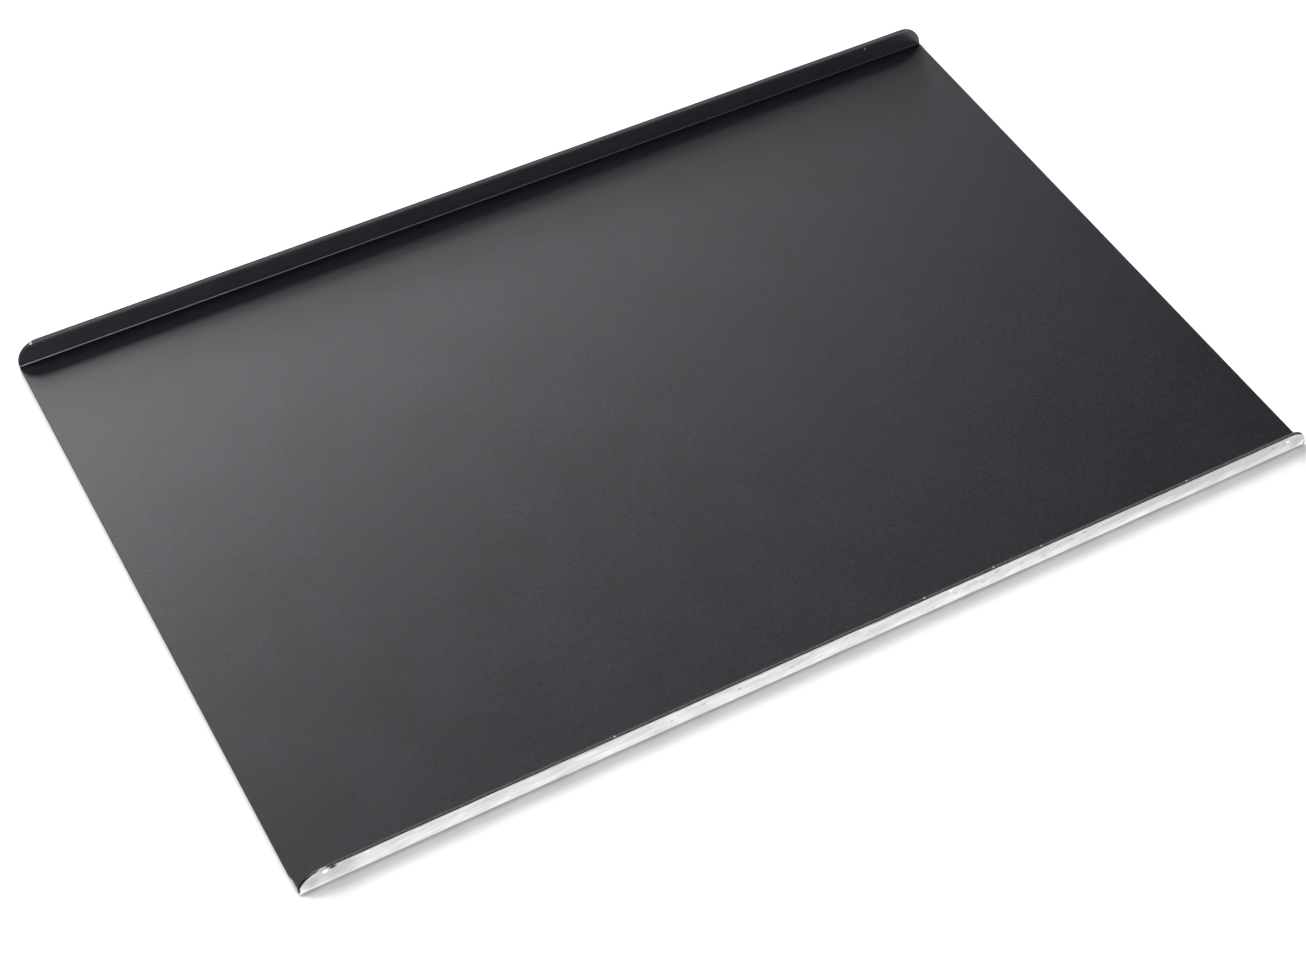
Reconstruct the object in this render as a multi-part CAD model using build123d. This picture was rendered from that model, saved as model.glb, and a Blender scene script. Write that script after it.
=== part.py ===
from build123d import *
import math
import os

# Rectangular cookie sheet: one bent aluminium blank with a non-stick coating on its baking side.
# Millimetres and degrees. X runs along the two flanged sides, Y across them, Z up.
# The origin is the middle of the footprint, on the face that the sheet rests on.

# Driving sizes of the finished, coated sheet
sheet_length = 600.0  # along the flanges, over the coated cut edges
sheet_width = 400.0  # across the flanges, over their outer rims
flange_height = 16.0  # from the resting face to the top of the rim
flange_lean = 5.0  # degrees outwards from upright
rounding_start = 2.4  # how far up a flange its rounded end begins, from the sharp outer corner
bend_radius = 1.0  # inside radius of the two bends, at the coating
metal_thickness = 2.0  # aluminium
coat_thickness = 0.06  # coating, on the baking side and round the cut edges
bare_edge = 0.2  # strip of each cut edge, next to the outer face, that the coating leaves bare
overrun = 5.0  # how far a cutter runs past what it cuts

# Worked out from the driving sizes
sheet_thickness = metal_thickness + coat_thickness
outer_bend_radius = bend_radius + sheet_thickness
lean = math.radians(flange_lean)
up_flange = Vector(0, math.sin(lean), math.cos(lean))
out_of_flange = Vector(0, math.cos(lean), -math.sin(lean))
outer_rim = Vector(0, sheet_width / 2, flange_height - sheet_thickness * math.sin(lean))
flange_slope = outer_rim.Z / up_flange.Z
flange_end_radius = flange_slope - rounding_start


def layer_line(depth, inset):
    """Cross-section line at a depth inside the outer face, its ends inset from the finished rims."""
    rim = outer_rim - out_of_flange * depth - up_flange * inset
    corner = rim - up_flange * ((rim.Z - depth) / up_flange.Z)
    points = [
        (0, -rim.Y, rim.Z),
        (0, -corner.Y, corner.Z),
        (0, corner.Y, corner.Z),
        (0, rim.Y, rim.Z),
    ]
    return FilletPolyline(points, radius=outer_bend_radius - depth)


def bent_channel(lower, upper, inset):
    """The bent layer between two depths, before its flange ends are rounded."""
    outside = layer_line(lower, inset)
    inside = layer_line(upper, inset)
    rims = [Line(outside @ 0, inside @ 0), Line(outside @ 1, inside @ 1)]
    section = make_face(outside.edges() + inside.edges() + rims)
    return extrude(section, amount=sheet_length / 2 - inset, dir=(1, 0, 0), both=True)


def flange_end_waste(inset):
    """What the rounding takes off the flange end at +X and +Y, in the plane of the leaning flange."""
    flange_plane = Plane(origin=outer_rim, x_dir=(1, 0, 0), z_dir=-out_of_flange)
    centre = Pos(sheet_length / 2 - flange_end_radius, -flange_end_radius)
    side = flange_end_radius + overrun
    waste = Rectangle(side, side, align=(Align.MIN, Align.MIN)) - Circle(flange_end_radius - inset)
    return extrude(flange_plane * centre * waste, amount=sheet_thickness + overrun, both=True)


def sheet_layer(lower, upper, inset):
    """The bent layer between two depths, with all its cut edges inset from the finished outline."""
    body = bent_channel(lower, upper, inset)
    right_waste = flange_end_waste(inset)
    for waste in (right_waste, mirror(right_waste, about=Plane.YZ)):
        body -= waste
        body -= mirror(waste, about=Plane.XZ)
    return body


aluminium_sheet = sheet_layer(0, metal_thickness, coat_thickness)
nonstick_coating = sheet_layer(bare_edge, sheet_thickness, 0) - aluminium_sheet

os.makedirs("parts", exist_ok=True)
export_step(aluminium_sheet, "parts/aluminium_sheet.step")
export_step(nonstick_coating, "parts/nonstick_coating.step")
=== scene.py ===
import bpy, bmesh, math
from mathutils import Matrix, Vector


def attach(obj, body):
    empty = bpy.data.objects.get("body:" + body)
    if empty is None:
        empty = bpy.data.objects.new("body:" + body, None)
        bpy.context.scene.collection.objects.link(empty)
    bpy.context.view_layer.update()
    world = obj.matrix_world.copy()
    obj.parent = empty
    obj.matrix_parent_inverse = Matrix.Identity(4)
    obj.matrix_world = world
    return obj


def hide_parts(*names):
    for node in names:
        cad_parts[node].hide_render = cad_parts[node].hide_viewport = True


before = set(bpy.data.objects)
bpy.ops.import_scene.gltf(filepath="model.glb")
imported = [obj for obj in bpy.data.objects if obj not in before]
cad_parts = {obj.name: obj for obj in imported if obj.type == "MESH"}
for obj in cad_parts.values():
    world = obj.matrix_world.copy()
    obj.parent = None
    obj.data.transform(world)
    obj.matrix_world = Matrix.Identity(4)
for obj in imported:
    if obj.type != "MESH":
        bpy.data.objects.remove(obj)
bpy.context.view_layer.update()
scene = bpy.context.scene
print("frame loaded:", sorted(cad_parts))

# sizes of the sheet, in metres, the same as in the CAD
sheet = {
    "length": 0.600,
    "width": 0.400,           # over the rims
    "height": 0.016,          # resting face to the top of the rim
    "lean": math.radians(5),  # outwards from upright
    "roundingStart": 0.0024,  # where a flange's rounded end begins, from the sharp outer corner
    "bendRadius": 0.0010,     # inside the bend
    "metal": 0.0020,
    "film": 0.00006,
    "bareEdge": 0.0002,       # strip of the cut edge that the coating leaves free
}
# how finely the mesh follows them
fineness = {
    "bendSteps": 14,
    "flangeRows": 16,
    "edgeSegments": 3,
    "edgeAngle": math.radians(50),    # a sharper turn than this is a cut edge, and is rounded
    "smoothAngle": math.radians(40),
    "faceWeight": 100,
    "mirrorMerge": 0.00001,
    "pointMerge": 0.000001,
}
thickness = sheet["metal"] + sheet["film"]
outerBend = sheet["bendRadius"] + thickness
upFlange = Vector((0, math.sin(sheet["lean"]), math.cos(sheet["lean"])))
outOfFlange = Vector((0, math.cos(sheet["lean"]), -math.sin(sheet["lean"])))
outerRim = Vector((0, sheet["width"] / 2, sheet["height"] - thickness * math.sin(sheet["lean"])))
flangeSlope = outerRim.z / upFlange.z
outerCorner = outerRim - upFlange * flangeSlope
endRadius = flangeSlope - sheet["roundingStart"]
bendAngle = math.pi / 2 - sheet["lean"]
bendMiddle = Vector((0, outerCorner.y - outerBend * math.tan(bendAngle / 2), outerBend))


def pickOnly(thing):
    for other in list(bpy.context.selected_objects):
        other.select_set(False)
    thing.select_set(True)
    bpy.context.view_layer.objects.active = thing


def startEdit(thing):
    pickOnly(thing)
    bpy.ops.object.mode_set(mode="EDIT")
    bpy.ops.mesh.select_all(action="DESELECT")
    return bmesh.from_edit_mesh(thing.data)


def applyModifier(thing, kind, **values):
    pickOnly(thing)
    modifier = thing.modifiers.new(kind.title(), kind)
    for key, value in values.items():
        setattr(modifier, key, value)
    bpy.ops.object.modifier_apply(modifier=modifier.name)


def halfLengthAt(place, inset):
    # the end of the row of points at this height, on the rounded end where there is one
    rise = (place - outerCorner).dot(upFlange) - sheet["roundingStart"]
    if rise <= 0:
        return sheet["length"] / 2 - inset
    reach = (endRadius - inset) ** 2 - rise ** 2
    return sheet["length"] / 2 - endRadius + math.sqrt(max(reach, 0))


def depthAt(place):
    # how far a point lies inside the outer face
    spot = Vector((0, abs(place.y), place.z))
    if spot.y < bendMiddle.y:
        return spot.z
    if (spot - bendMiddle).dot(upFlange) > 0:
        return (outerRim - spot).dot(outOfFlange)
    return outerBend - (spot - bendMiddle).length


def bentBlank(name, depth, inset):
    # half of the blank as a flat face, bent up on one side and mirrored
    bpy.ops.object.select_all(action="DESELECT")
    bpy.ops.mesh.primitive_plane_add(size=1, location=(0, bendMiddle.y / 2, depth))
    blank = bpy.context.object
    blank.name = name
    mesh = startEdit(blank)
    bpy.ops.mesh.select_all(action="SELECT")
    bpy.ops.transform.resize(value=(sheet["length"] - 2 * inset, bendMiddle.y, 1))
    bpy.ops.mesh.select_all(action="DESELECT")
    # the face is still about the object's own middle, so this is its outer long edge
    for edge in mesh.edges:
        if all(vert.co.y > 0 for vert in edge.verts):
            edge.select_set(True)
    bpy.ops.mesh.spin(steps=fineness["bendSteps"], angle=bendAngle, center=bendMiddle,
                      axis=(-1, 0, 0))

    # the flange goes up in rows that lie closer together towards its rim
    tangent = (bendMiddle + outOfFlange * outerBend - outerCorner).dot(upFlange)
    radius = endRadius - inset
    firstTurn = math.asin((tangent - sheet["roundingStart"]) / radius)
    height = tangent
    for step in range(1, fineness["flangeRows"] + 1):
        turn = firstTurn + (math.pi / 2 - firstTurn) * step / fineness["flangeRows"]
        nextHeight = sheet["roundingStart"] + radius * math.sin(turn)
        bpy.ops.mesh.extrude_region_move(
            TRANSFORM_OT_translate={"value": upFlange * (nextHeight - height)})
        height = nextHeight
    bpy.ops.object.mode_set(mode="OBJECT")
    bpy.ops.object.transform_apply(location=True, rotation=True, scale=True)
    for vert in blank.data.vertices:
        vert.co.x = math.copysign(halfLengthAt(vert.co, inset), vert.co.x)

    applyModifier(blank, "MIRROR", use_axis=(False, True, False),
                  merge_threshold=fineness["mirrorMerge"])
    startEdit(blank)
    bpy.ops.mesh.select_all(action="SELECT")
    bpy.ops.mesh.remove_doubles(threshold=fineness["pointMerge"])
    bpy.ops.mesh.normals_make_consistent(inside=False)
    flat = max(bmesh.from_edit_mesh(blank.data).faces, key=lambda face: face.calc_area())
    if flat.normal.z < 0:
        bpy.ops.mesh.flip_normals()
    bpy.ops.object.mode_set(mode="OBJECT")
    return blank


def roundEdges(piece, width):
    applyModifier(piece, "BEVEL", width=width, segments=fineness["edgeSegments"],
                  limit_method="ANGLE", angle_limit=fineness["edgeAngle"])


def smoothPiece(piece):
    pickOnly(piece)
    bpy.ops.object.shade_smooth_by_angle(angle=fineness["smoothAngle"])
    applyModifier(piece, "WEIGHTED_NORMAL", mode="FACE_AREA", weight=fineness["faceWeight"],
                  keep_sharp=True)


def feed(tree, node, inputs):
    # a socket is linked to the input of that name or number, and a plain value is set on it
    for key, value in inputs.items():
        if isinstance(value, bpy.types.NodeSocket):
            tree.links.new(value, node.inputs[key])
        else:
            node.inputs[key].default_value = value
    return node


def addNode(tree, kind, inputs=None, **values):
    node = tree.nodes.new("ShaderNode" + kind)
    for key, value in values.items():
        setattr(node, key, value)
    return feed(tree, node, inputs or {})


def calculate(tree, operation, *values):
    # one Math node, or a chain of them where there are more than two values
    total = values[0]
    for value in values[1:] or (0.0,):
        total = addNode(tree, "Math", {0: total, 1: value}, operation=operation).outputs[0]
    return total


def ramp(tree, value, span, low=0.0, high=1.0, **values):
    # low where the span starts, high where it ends, and level beyond it
    inputs = {"Value": value, "From Min": span[0], "From Max": span[1],
              "To Min": low, "To Max": high}
    return addNode(tree, "MapRange", inputs, **values).outputs[0]


def swing(tree, value, size):
    # noise between 0 and 1, moved to lie about zero and scaled to a size
    return calculate(tree, "MULTIPLY", calculate(tree, "SUBTRACT", value, 0.5), size)


def blendColour(tree, factor, first, second):
    return addNode(tree, "Mix", {0: factor, 6: first, 7: second}, data_type="RGBA").outputs[2]


def newGroup(name, inputs, outputs):
    group = bpy.data.node_groups.new(name, "ShaderNodeTree")
    for label, kind in inputs.items():
        group.interface.new_socket(name=label, in_out="INPUT", socket_type="NodeSocket" + kind)
    for label, kind in outputs.items():
        group.interface.new_socket(name=label, in_out="OUTPUT", socket_type="NodeSocket" + kind)
    given = group.nodes.new("NodeGroupInput").outputs
    result = group.nodes.new("NodeGroupOutput").inputs
    return group, given, result


def placeGroup(tree, group, inputs):
    return addNode(tree, "Group", inputs, node_tree=group).outputs[0]


def newMaterial(name):
    material = bpy.data.materials.new(name)
    material.use_nodes = True
    tree = material.node_tree
    tree.nodes.clear()
    shader = addNode(tree, "BsdfPrincipled")
    addNode(tree, "OutputMaterial", {"Surface": shader.outputs[0]})
    return material, tree, shader


patterns = {
    "cloudRoughness": 0.6,
    "cloudSpan": (0.3, 0.7),      # the part of the noise that fills the range
    "speckCore": 0.6,             # share of a speck's radius that is full
    "tatterScale": 1100.0,
    "tatterDetail": 3.0,
    "tatterSize": 0.9,            # how ragged a mark's outline is, in radii
}
# cloudy noise between two values, stretched along the sheet where Stretch is above 1
mottle, given, result = newGroup(
    "mottle",
    {"Vector": "Vector", "Scale": "Float", "Stretch": "Float", "Detail": "Float",
     "Low": "Float", "High": "Float"},
    {"Value": "Float"})
shrink = calculate(mottle, "DIVIDE", 1.0, given["Stretch"])
stretchBy = addNode(mottle, "CombineXYZ", {0: shrink, 1: 1.0, 2: 1.0})
stretched = addNode(mottle, "VectorMath", {0: given["Vector"], 1: stretchBy.outputs[0]},
                    operation="MULTIPLY")
cloud = addNode(mottle, "TexNoise", {"Vector": stretched.outputs[0], "Scale": given["Scale"],
                                     "Detail": given["Detail"],
                                     "Roughness": patterns["cloudRoughness"]})
spread = ramp(mottle, cloud.outputs[0], patterns["cloudSpan"], given["Low"], given["High"])
mottle.links.new(spread, result["Value"])

# scattered pin specks, one cell in a few
specks, given, result = newGroup(
    "specks",
    {"Vector": "Vector", "Scale": "Float", "Size": "Float", "Share": "Float"},
    {"Mask": "Float"})
cells = addNode(specks, "TexVoronoi", {"Vector": given["Vector"], "Scale": given["Scale"]})
core = calculate(specks, "MULTIPLY", given["Size"], patterns["speckCore"])
near = ramp(specks, cells.outputs["Distance"], (given["Size"], core))
split = addNode(specks, "SeparateColor", {0: cells.outputs["Color"]})
chosen = calculate(specks, "LESS_THAN", split.outputs[0], given["Share"])
specks.links.new(calculate(specks, "MULTIPLY", near, chosen), result["Mask"])

# one ragged oval mark at a place, such as a chip in the coating
flake, given, result = newGroup(
    "flake",
    {"Vector": "Vector", "Place": "Vector", "Radii": "Vector", "Soft": "Float"},
    {"Mask": "Float"})
tatter = addNode(flake, "TexNoise", {"Vector": given["Vector"], "Scale": patterns["tatterScale"],
                                     "Detail": patterns["tatterDetail"]})
away = addNode(flake, "VectorMath", {0: given["Vector"], 1: given["Place"]}, operation="SUBTRACT")
away = addNode(flake, "VectorMath", {0: away.outputs[0], 1: given["Radii"]}, operation="DIVIDE")
gap = addNode(flake, "VectorMath", {0: away.outputs[0]}, operation="LENGTH")
wobble = swing(flake, tatter.outputs[0], patterns["tatterSize"])
outline = calculate(flake, "ADD", gap.outputs["Value"], wobble)
inside = ramp(flake, outline, (1.0, calculate(flake, "SUBTRACT", 1.0, given["Soft"])))
flake.links.new(inside, result["Mask"])


def placeMottle(tree, place, pattern):
    return placeGroup(tree, mottle, {"Vector": place, "Low": 0.0, "High": 1.0, **pattern})


def allMarks(tree, place, kind):
    # each mark is a place and its radii along X, Y and Z
    masks = [placeGroup(tree, flake, {"Vector": place, "Place": spot, "Radii": radii,
                                      "Soft": kind["soft"]})
             for spot, radii in kind["marks"]]
    return calculate(tree, "MULTIPLY", calculate(tree, "MAXIMUM", *masks), kind["strength"])


print("node groups ready")

# the bare metal: the underside and the outer face of both flanges
aluminium = {
    "edgeRounding": 0.00034,
    "pale": (1.0, 0.99, 1.0, 1),
    "dull": (0.56, 0.555, 0.57, 1),
    "grime": (0.30, 0.29, 0.28, 1),
    "spray": (0.012, 0.012, 0.016, 1),
    "tan": (0.30, 0.26, 0.22, 1),
    # the colour of the painted glints
    "paintedGlintColour": (1.0, 1.0, 1.0, 1),
    "rough": (0.44, 0.62),
    "metallic": 0.8,                   # the rest is the pale oxide skin
    "sheen": 0.1,
    "streaks": {"Scale": 900.0, "Stretch": 60.0, "Detail": 3.0},
    "scuffs": {"Scale": 420.0, "Stretch": 6.0, "Detail": 4.0},
    "clouds": {"Scale": 150.0, "Stretch": 2.5, "Detail": 4.0},
    "patches": {"Scale": 14.0, "Stretch": 2.0, "Detail": 2.0},
    "askew": math.radians(9),          # scuffs and clouds against the rolled streaks
    "streakShare": 0.2,
    "cloudShare": 0.45,
    "scuffShare": 0.35,
    "streakDepth": 0.000006,
    # painted light and shade on the outer face: paler at its foot, greyer towards its rim and its
    # ends
    "paintedLightAtFoot": 0.45,
    "paintedShadeAtRim": 0.15,
    "paintedShadeAtRightEnd": 0.55,
    "paintedShadeAtLeftEnd": 0.45,
    "footToRim": (0.0015, 0.0105),     # heights
    "toRightEnd": (0.05, 0.28),
    "toLeftEnd": (-0.265, -0.280),
    "toOuterFace": (0.1960, 0.1980),   # off the middle line
    "sprayRagged": 0.0004,
    "sprayWander": {"Scale": 34.0, "Stretch": 1.0, "Detail": 3.0, "Low": -0.0006, "High": 0.0006},
    "sprayOnRim": (0.0146, 0.0156),    # heights
    "sprayOnSide": (0.2990, 0.2995),   # off the middle of the sheet
    "sprayRough": 0.8,
    "thinSpray": 0.9,
    "dirt": {"Scale": 160.0, "Size": 0.10, "Share": 0.08},
    "dirtStrength": 0.6,
    "clean": {"soft": 0.3, "strength": 1.0, "marks": [
        ((-0.2996, -0.1985, 0.0008), (0.0036, 0.0045, 0.0036)),
    ]},
    "runs": {"soft": 0.5, "strength": 1.0, "marks": [
        ((-0.2818, -0.1998, 0.0146), (0.0025, 0.01, 0.0016)),
    ]},
    # painted glints: small white spots that stand in for highlights on the face
    "paintedGlints": {"soft": 0.25, "strength": 1.0, "marks": [
        ((-0.2859, -0.1998, 0.0133), (0.0015, 0.01, 0.0018)),
        ((0.2859, -0.1996, 0.0116), (0.0013, 0.01, 0.0010)),
        ((0.0658, -0.1998, 0.0136), (0.0012, 0.01, 0.0008)),
        ((-0.2640, -0.1998, 0.0140), (0.0012, 0.01, 0.0008)),
    ]},
    "smearsAndDarkerEnds": {"soft": 0.9, "strength": 0.45, "marks": [
        ((0.2761, -0.1996, 0.0110), (0.0045, 0.01, 0.0028)),
        # the two widest marks darken both rounded ends of the face
        ((0.2930, -0.1990, 0.0080), (0.0060, 0.01, 0.0070)),
        ((-0.2930, -0.1990, 0.0070), (0.0050, 0.01, 0.0070)),
        ((0.0872, -0.1993, 0.0081), (0.0026, 0.01, 0.0016)),
        ((0.0947, -0.1997, 0.0121), (0.0024, 0.01, 0.0017)),
        ((0.1107, -0.1994, 0.0094), (0.0022, 0.01, 0.0016)),
        ((0.1252, -0.1992, 0.0072), (0.0024, 0.01, 0.0016)),
        ((0.1423, -0.1996, 0.0111), (0.0030, 0.01, 0.0016)),
        ((0.1507, -0.1996, 0.0122), (0.0030, 0.01, 0.0014)),
        ((0.0562, -0.1990, 0.0048), (0.0018, 0.01, 0.0010)),
    ]},
    "spots": {"soft": 0.7, "strength": 0.8, "marks": [
        ((-0.0989, -0.1994, 0.0086), (0.0011, 0.01, 0.0009)),
        ((-0.0808, -0.1996, 0.0112), (0.0010, 0.01, 0.0009)),
        ((-0.0600, -0.1995, 0.0101), (0.0012, 0.01, 0.0009)),
        ((-0.0295, -0.1994, 0.0088), (0.0011, 0.01, 0.0008)),
        ((0.0696, -0.1994, 0.0093), (0.0011, 0.01, 0.0009)),
        ((0.2836, -0.1995, 0.0107), (0.0011, 0.01, 0.0010)),
        ((-0.2830, -0.1999, 0.0150), (0.0009, 0.01, 0.0011)),
    ]},
}
aluminiumMaterial, tree, shader = newMaterial("satinAluminium")
place = addNode(tree, "TexCoord").outputs["Object"]
spotX, spotY, spotZ = addNode(tree, "SeparateXYZ", {0: place}).outputs
turning = addNode(tree, "Mapping", {"Vector": place, "Rotation": (0, aluminium["askew"], 0)})
turnedPlace = turning.outputs[0]
streaks = placeMottle(tree, place, aluminium["streaks"])
scuffs = placeMottle(tree, turnedPlace, aluminium["scuffs"])
clouds = placeMottle(tree, turnedPlace, aluminium["clouds"])
patches = placeMottle(tree, place, aluminium["patches"])
tone = calculate(tree, "ADD",
                 calculate(tree, "MULTIPLY", streaks, aluminium["streakShare"]),
                 calculate(tree, "MULTIPLY", clouds, aluminium["cloudShare"]),
                 calculate(tree, "MULTIPLY", scuffs, aluminium["scuffShare"]))
# painted light and shade: palest at the foot of the flange, greyer towards the rim and most of all
# at both ends of it
upwards = ramp(tree, spotZ, aluminium["footToRim"])
rightwards = ramp(tree, spotX, aluminium["toRightEnd"], 0.0, aluminium["paintedShadeAtRightEnd"])
leftwards = ramp(tree, spotX, aluminium["toLeftEnd"], 0.0, aluminium["paintedShadeAtLeftEnd"])
greyer = calculate(tree, "ADD", leftwards, rightwards,
                   aluminium["paintedLightAtFoot"] + aluminium["paintedShadeAtRim"])
shade = calculate(tree, "SUBTRACT", aluminium["paintedLightAtFoot"],
                  calculate(tree, "MULTIPLY", upwards, greyer))
outwards = ramp(tree, calculate(tree, "ABSOLUTE", spotY), aluminium["toOuterFace"])
tone = calculate(tree, "ADD", tone, calculate(tree, "MULTIPLY", outwards, shade))
metalColour = blendColour(tree, tone, aluminium["dull"], aluminium["pale"])
dirt = placeGroup(tree, specks, {"Vector": place, **aluminium["dirt"]})
grime = calculate(tree, "MAXIMUM",
                  calculate(tree, "MULTIPLY", dirt, aluminium["dirtStrength"]),
                  allMarks(tree, place, aluminium["smearsAndDarkerEnds"]),
                  allMarks(tree, place, aluminium["spots"]))
metalColour = blendColour(tree, grime, metalColour, aluminium["grime"])
# painted glints, white where a highlight would fall
paintedGlint = allMarks(tree, place, aluminium["paintedGlints"])
metalColour = blendColour(tree, paintedGlint, metalColour, aluminium["paintedGlintColour"])

# the coating's overspray, thin along the front rim, dark on the rear rim and on the cut short sides
ragged = swing(tree, clouds, aluminium["sprayRagged"])
wander = placeMottle(tree, place, aluminium["sprayWander"])
nearRim = ramp(tree, calculate(tree, "ADD", spotZ, ragged, wander), aluminium["sprayOnRim"])
behind = calculate(tree, "GREATER_THAN", spotY, 0.0)
sideways = calculate(tree, "ADD", calculate(tree, "ABSOLUTE", spotX), ragged)
nearSide = ramp(tree, sideways, aluminium["sprayOnSide"])
overspray = calculate(tree, "MAXIMUM", calculate(tree, "MULTIPLY", nearRim, behind), nearSide)
uncleaned = calculate(tree, "SUBTRACT", 1.0, allMarks(tree, place, aluminium["clean"]))
overspray = calculate(tree, "MAXIMUM", calculate(tree, "MULTIPLY", overspray, uncleaned),
                      allMarks(tree, place, aluminium["runs"]))
thinSpray = calculate(tree, "MULTIPLY", clouds, aluminium["thinSpray"], nearRim)
metalColour = blendColour(tree, thinSpray, metalColour, aluminium["tan"])
# the overspray and the painted glints are not metallic
bare = calculate(tree, "SUBTRACT", 1.0, calculate(tree, "MAXIMUM", overspray, paintedGlint))
uneven = calculate(tree, "MULTIPLY", calculate(tree, "ADD", scuffs, patches), 0.5)
gloss = ramp(tree, uneven, (0.0, 1.0), *aluminium["rough"])
sprayGloss = calculate(tree, "MULTIPLY", overspray, aluminium["sprayRough"])
relief = addNode(tree, "Bump", {"Strength": 1.0, "Distance": aluminium["streakDepth"],
                                "Height": streaks})
feed(tree, shader, {
    "Base Color": blendColour(tree, overspray, metalColour, aluminium["spray"]),
    "Metallic": calculate(tree, "MULTIPLY", bare, aluminium["metallic"]),
    "Roughness": calculate(tree, "MAXIMUM", gloss, sprayGloss),
    "Specular IOR Level": aluminium["sheen"],
    "Normal": relief.outputs[0],
})

blank = bentBlank("aluminiumBlank", 0, sheet["film"])
applyModifier(blank, "SOLIDIFY", thickness=sheet["metal"], offset=1.0, use_even_offset=True)
roundEdges(blank, aluminium["edgeRounding"])
blank.data.materials.append(aluminiumMaterial)
smoothPiece(blank)
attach(blank, "root")
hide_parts("aluminium_sheet")
print("aluminium blank ready:", len(blank.data.polygons), "faces")

# the non-stick film: depths in it are shares of the sheet's thickness, from the outer face
coating = {
    "edgeRounding": 0.0004,
    "dark": (0.0012, 0.0026, 0.0043, 1),
    "light": (0.0102, 0.0107, 0.0162, 1),
    # the paler line along the rounded edge is partly wear and partly painted highlight
    "wearAndHighlight": (0.085, 0.083, 0.087, 1),      # along the rounded edge of the baking side
    "wearAndHighlightFrom": 0.84,
    "wearAndHighlightFade": 0.03,
    "wearAndHighlightEnd": (0.998, 0.975),
    "wearAndHighlightPatches": {"Scale": 130.0, "Stretch": 1.0, "Detail": 5.0, "Low": 0.4},
    "wearAndHighlightFront": 0.2,
    "wearAndHighlightRear": 0.7,
    "toFrontRim": (-0.1950, -0.1960),
    "belowRearRim": (0.0144, 0.0148),      # heights
    "fine": {"Scale": 420.0, "Stretch": 1.0, "Detail": 3.0},
    "broad": {"Scale": 22.0, "Stretch": 1.0, "Detail": 4.0},
    "grain": {"Scale": 1500.0, "Stretch": 1.0, "Detail": 2.0, "High": 0.4},
    "grainDepth": 0.000020,
    "fineInColour": 0.8,
    "broadInColour": 0.2,
    "fineInGloss": 0.6,
    "broadInGloss": 0.4,
    "rough": (0.30, 0.34),
    "sheen": 0.65,
    "refraction": 1.55,
    "bareMetal": (0.50, 0.48, 0.45, 1),
    "bareMetallic": 0.6,
    "chips": {"soft": 0.3, "strength": 1.0, "marks": [
        ((-0.2905, 0.1985, 0.0150), (0.0010, 0.0012, 0.0010)),
        ((-0.2868, -0.1994, 0.0156), (0.0030, 0.0005, 0.0010)),
        ((0.2588, 0.1970, 0.0128), (0.0006, 0.0010, 0.0012)),
        ((-0.3003, -0.1935, 0.0008), (0.0012, 0.0078, 0.0040)),
        ((-0.2996, -0.1985, 0.0012), (0.0034, 0.0022, 0.0030)),
    ]},
}
# an outline that is paler in places, on the rounded edge between two depths: partly wear, partly
# painted highlight
wearAndHighlightLine, given, result = newGroup(
    "wearAndHighlightLine",
    {"Vector": "Vector", "Depth": "Float", "From": "Float"},
    {"Mask": "Float"})
along = placeMottle(wearAndHighlightLine, given["Vector"], coating["wearAndHighlightPatches"])
fadedIn = calculate(wearAndHighlightLine, "ADD", given["From"], coating["wearAndHighlightFade"])
outerSide = ramp(wearAndHighlightLine, given["Depth"], (given["From"], fadedIn))
innerSide = ramp(wearAndHighlightLine, given["Depth"], coating["wearAndHighlightEnd"])
wearAndHighlightLine.links.new(calculate(wearAndHighlightLine, "MULTIPLY", outerSide, innerSide, along), result["Mask"])


def coatSurface(tree, shader, place, colour, fine, broad, chips, wearAndHighlight, look):
    # what both of the coating's materials share; look gives the gloss of each
    colour = blendColour(tree, wearAndHighlight, colour, coating["wearAndHighlight"])
    uneven = calculate(tree, "ADD",
                       calculate(tree, "MULTIPLY", fine, coating["fineInGloss"]),
                       calculate(tree, "MULTIPLY", broad, coating["broadInGloss"]))
    height = calculate(tree, "ADD", fine, placeMottle(tree, place, coating["grain"]))
    relief = addNode(tree, "Bump", {"Strength": 1.0, "Distance": coating["grainDepth"],
                                    "Height": height})
    feed(tree, shader, {
        "Base Color": blendColour(tree, chips, colour, coating["bareMetal"]),
        "Metallic": calculate(tree, "MULTIPLY", chips, coating["bareMetallic"]),
        "Roughness": ramp(tree, uneven, (0.0, 1.0), *look["rough"]),
        "Specular IOR Level": look["sheen"],
        "IOR": coating["refraction"],
        "Normal": relief.outputs[0],
    })


film, tree, shader = newMaterial("blackNonstick")
place = addNode(tree, "TexCoord").outputs["Object"]
spotY, spotZ = addNode(tree, "SeparateXYZ", {0: place}).outputs[1:]
depth = addNode(tree, "Attribute", attribute_name="edgeDepth").outputs["Fac"]
fine = placeMottle(tree, place, coating["fine"])
broad = placeMottle(tree, place, coating["broad"])
tone = calculate(tree, "ADD",
                 calculate(tree, "MULTIPLY", fine, coating["fineInColour"]),
                 calculate(tree, "MULTIPLY", broad, coating["broadInColour"]))
filmColour = blendColour(tree, tone, coating["dark"], coating["light"])
wearAndHighlight = placeGroup(tree, wearAndHighlightLine, {"Vector": place, "Depth": depth, "From": coating["wearAndHighlightFrom"]})
ahead = ramp(tree, spotY, coating["toFrontRim"], 1.0, coating["wearAndHighlightFront"])
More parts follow.
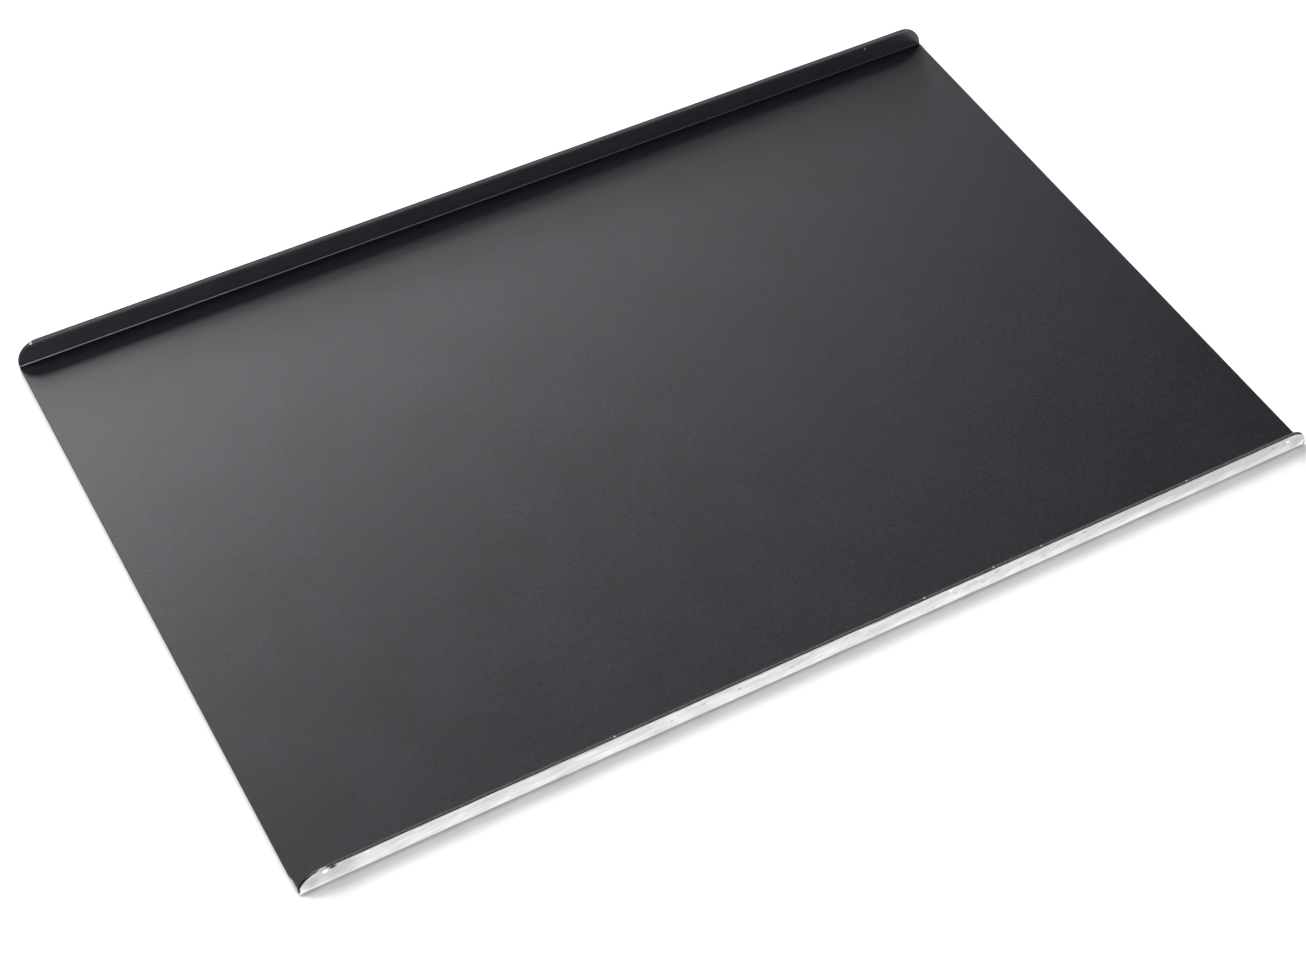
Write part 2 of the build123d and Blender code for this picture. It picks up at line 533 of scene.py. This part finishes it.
# the rear flange is also paler just below its rim, partly wear and partly painted highlight
belowRim = ramp(tree, spotZ, coating["belowRearRim"], 0.0, coating["wearAndHighlightRear"])
behind = calculate(tree, "GREATER_THAN", spotY, 0.0)
wearAndHighlight = calculate(tree, "MAXIMUM", calculate(tree, "MULTIPLY", wearAndHighlight, ahead),
                 calculate(tree, "MULTIPLY", belowRim, behind))
chips = allMarks(tree, place, coating["chips"])
coatSurface(tree, shader, place, filmColour, fine, broad, chips, wearAndHighlight, coating)

# the film on the rims, the rounded flange ends and the short sides
rim = {
    "brown": (0.135, 0.124, 0.112, 1),
    "outer": (0.036, 0.029, 0.023, 1),
    "outerTo": 0.42,
    "outerFade": 0.1,
    "innerFrom": 0.72,
    "innerFade": 0.15,
    "innerThin": 0.15,
    "rearWearAndHighlightFrom": 0.45,
    "fine": {"Scale": 700.0, "Stretch": 1.0, "Detail": 3.0},
    "ragged": 0.16,
    "toFront": (-0.1960, -0.1972),
    "toRear": (0.1960, 0.1972),
    "upFlange": (0.0115, 0.0150),          # heights
    "thinLeast": 0.55,                     # strength of the brown, which varies with the mottle
    "thinPatchy": 0.45,
    "thinHides": 0.8,                      # of the line of wear and painted highlight
    "rough": (0.58, 0.68),
    "sheen": 0.05,
    "nicks": {"soft": 0.3, "strength": 1.0, "marks": [
        ((-0.1306, -0.1986, 0.016), (0.0005, 0.0006, 0.001)),
        ((0.0502, -0.1986, 0.016), (0.0006, 0.0006, 0.001)),
        ((0.0929, -0.1986, 0.016), (0.0006, 0.0006, 0.001)),
        ((0.1230, -0.1986, 0.016), (0.0006, 0.0006, 0.001)),
        ((0.2172, -0.1986, 0.016), (0.0005, 0.0006, 0.001)),
    ]},
}
rimFilm, tree, shader = newMaterial("filmOnCutEdge")
place = addNode(tree, "TexCoord").outputs["Object"]
spotY, spotZ = addNode(tree, "SeparateXYZ", {0: place}).outputs[1:]
depth = addNode(tree, "Attribute", attribute_name="edgeDepth").outputs["Fac"]
fine = placeMottle(tree, place, rim["fine"])
ragged = calculate(tree, "ADD", depth, swing(tree, fine, rim["ragged"]))
# on the front flange the film is thin on the whole rim, and darkest beside the bare metal
inner = ramp(tree, ragged, (rim["outerTo"] - rim["outerFade"], rim["outerTo"] + rim["outerFade"]))
thinColour = blendColour(tree, inner, rim["outer"], rim["brown"])
front = ramp(tree, spotY, rim["toFront"])
upper = ramp(tree, spotZ, rim["upFlange"])
patchy = calculate(tree, "ADD", rim["thinLeast"],
                   calculate(tree, "MULTIPLY", fine, rim["thinPatchy"]))
intoFilm = ramp(tree, ragged, (rim["innerFrom"], rim["innerFrom"] + rim["innerFade"]),
                1.0, rim["innerThin"])
thin = calculate(tree, "MULTIPLY", front, upper, patchy, intoFilm)
rimColour = blendColour(tree, fine, coating["dark"], coating["light"])
rimColour = blendColour(tree, thin, rimColour, thinColour)
# the rear rim is paler over its inner half, the front one hardly: partly wear, partly painted
# highlight
rearUpper = calculate(tree, "MULTIPLY", ramp(tree, spotY, rim["toRear"]), upper)
wearAndHighlightFrom = ramp(tree, rearUpper, (0.0, 1.0), coating["wearAndHighlightFrom"], rim["rearWearAndHighlightFrom"])
wearAndHighlight = placeGroup(tree, wearAndHighlightLine, {"Vector": place, "Depth": depth, "From": wearAndHighlightFrom})
unhidden = calculate(tree, "SUBTRACT", 1.0, calculate(tree, "MULTIPLY", thin, rim["thinHides"]))
wearAndHighlight = calculate(tree, "MULTIPLY", wearAndHighlight, unhidden)
chips = calculate(tree, "MAXIMUM", allMarks(tree, place, rim["nicks"]),
                  allMarks(tree, place, coating["chips"]))
coatSurface(tree, shader, place, rimColour, fine, fine, chips, wearAndHighlight, rim)

# the baking side, wrapped down over the cut edges as far as the bare strip
coat = bentBlank("nonstickFilm", thickness, 0)
for material in (film, film, rimFilm):
    coat.data.materials.append(material)
applyModifier(coat, "SOLIDIFY", thickness=thickness - sheet["bareEdge"], offset=-1.0,
              use_even_offset=True, material_offset=1, material_offset_rim=2)
mesh = startEdit(coat)
bpy.context.tool_settings.mesh_select_mode = (False, False, True)
for face in mesh.faces:
    face.select_set(face.material_index == 1)
bpy.ops.mesh.delete(type="FACE")
bpy.ops.object.mode_set(mode="OBJECT")
roundEdges(coat, coating["edgeRounding"])
applyModifier(coat, "SOLIDIFY", thickness=sheet["film"], offset=-1.0, use_even_offset=True)
smoothPiece(coat)
depths = coat.data.attributes.new("edgeDepth", "FLOAT", "POINT")
for vert, entry in zip(coat.data.vertices, depths.data):
    entry.value = depthAt(vert.co) / thickness   # 0 at the outer face, 1 at the baking side
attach(coat, "root")
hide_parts("nonstick_coating")
print("coating ready:", len(coat.data.polygons), "faces")

floorLook = {
    "size": 60.0,
    "drop": 0.00005,
    "colour": (0.88, 0.88, 0.88, 1),
    "seen": (1.0, 1.0, 1.0, 1),            # by the camera and in reflections
    # a painted shadow: the floor's own colour darkens where the sheet is close
    "paintedShadowWidth": 0.0022,
    "paintedShadowDepth": 0.66,
    "paintedShadowColour": (0, 0, 0, 1),
    "contactSamples": 8,
    "rough": 0.9,
    "sheen": 0.0,
}
bpy.ops.object.select_all(action="DESELECT")
bpy.ops.mesh.primitive_plane_add(size=floorLook["size"], location=(0, 0, -floorLook["drop"]))
floor = bpy.context.object
floor.name = "floor"
floorMaterial, tree, shader = newMaterial("paleFloor")
rays = addNode(tree, "LightPath").outputs
seen = calculate(tree, "MAXIMUM", rays["Is Camera Ray"], rays["Is Glossy Ray"],
                 rays["Is Transmission Ray"])
floorColour = blendColour(tree, seen, floorLook["colour"], floorLook["seen"])
# painted shadow: the floor darkens where the sheet is close, so the shadow is deepest right where
# the sheet touches the floor
openness = addNode(tree, "AmbientOcclusion", {"Distance": floorLook["paintedShadowWidth"]},
                   samples=floorLook["contactSamples"]).outputs["AO"]
paintedShadow = calculate(tree, "MULTIPLY", calculate(tree, "SUBTRACT", 1.0, openness),
                      floorLook["paintedShadowDepth"])
feed(tree, shader, {
    "Base Color": blendColour(tree, paintedShadow, floorColour, floorLook["paintedShadowColour"]),
    "Roughness": floorLook["rough"],
    "Specular IOR Level": floorLook["sheen"],
})
floor.data.materials.append(floorMaterial)

viewPoint = {
    "place": (-0.45480, -0.84797, 1.02979),
    "across": (0.8710461, -0.4910508, 0.0121587),
    "up": (0.3626792, 0.6596349, 0.6582899),
    "lens": 69.48,
    "sensor": 36,
    "shift": -0.0465,
    "nearest": 0.01,
}
bpy.ops.object.camera_add(location=viewPoint["place"])
camera = bpy.context.object
across = Vector(viewPoint["across"]).normalized()
back = across.cross(Vector(viewPoint["up"])).normalized()
upward = back.cross(across)
turned = camera.matrix_world.copy()
for row in range(3):
    turned[row][0], turned[row][1], turned[row][2] = across[row], upward[row], back[row]
camera.matrix_world = turned
camera.data.lens = viewPoint["lens"]
camera.data.sensor_width = viewPoint["sensor"]
camera.data.shift_x = viewPoint["shift"]
camera.data.clip_start = viewPoint["nearest"]
scene.camera = camera

lampColours = {"plain": (1.0, 1.0, 1.0), "rosy": (1.0, 0.97, 1.0), "cool": (0.97, 0.96, 1.0)}
# bearing from +Y towards +X, height above the horizon, width as seen from the sheet, in degrees
lamps = {
    "leftLamp": {"bearing": -60, "height": 58, "width": 30, "strength": 1.52, "colour": "plain"},
    "rearLeftLamp": {"bearing": -50, "height": 55, "width": 24, "strength": 0.74, "colour": "plain"},
    "farLeftLamp": {"bearing": -75, "height": 60, "width": 30, "strength": 0.72, "colour": "plain"},
    "rightLamp": {"bearing": 90, "height": 60, "width": 60, "strength": 0.04, "colour": "plain"},
    "highRearLamp": {"bearing": 0, "height": 40, "width": 18, "strength": 0.44, "colour": "rosy"},
    "rearRightLamp": {"bearing": 32, "height": 40, "width": 18, "strength": 0.06, "colour": "rosy"},
    "rearLamp": {"bearing": 16, "height": 25, "width": 18, "strength": 0.72, "colour": "cool"},
    "lowRearLamp": {"bearing": 16, "height": 12, "width": 14, "strength": 2.15, "colour": "cool"},
    "frontLamp": {"bearing": 180, "height": 4, "width": 8, "strength": 2.45, "colour": "plain"},
}
# a sun lamp lights the same from any place, so all of them stand above the sheet
for name, lamp in lamps.items():
    bpy.ops.object.light_add(type="SUN", location=(0, 0, 2))
    light = bpy.context.object
    light.name = name
    bearing, height = math.radians(lamp["bearing"]), math.radians(lamp["height"])
    towards = Vector((math.sin(bearing) * math.cos(height), math.cos(bearing) * math.cos(height),
                      math.sin(height)))
    light.rotation_euler = towards.to_track_quat("Z", "Y").to_euler()
    light.data.angle = math.radians(lamp["width"])
    light.data.energy = lamp["strength"]
    light.data.color = lampColours[lamp["colour"]]

room = {
    "horizon": (1.0, 1.0, 1.0, 1),
    "ceiling": (0.01, 0.01, 0.011, 1),
    "fade": (0.05, 0.20),                  # heights on a sphere of radius 1
    "strength": 1.0,
}
world = bpy.data.worlds.new("studio")
scene.world = world
world.use_nodes = True
tree = world.node_tree
tree.nodes.clear()
direction = addNode(tree, "TexCoord").outputs["Generated"]
level = addNode(tree, "SeparateXYZ", {0: direction}).outputs[2]
rise = ramp(tree, level, room["fade"], interpolation_type="SMOOTHSTEP")
skyColour = blendColour(tree, rise, room["horizon"], room["ceiling"])
background = addNode(tree, "Background", {"Color": skyColour, "Strength": room["strength"]})
addNode(tree, "OutputWorld", {"Surface": background.outputs[0]})
scene.view_settings.view_transform = "Standard"
print("stage, camera and lamps ready")
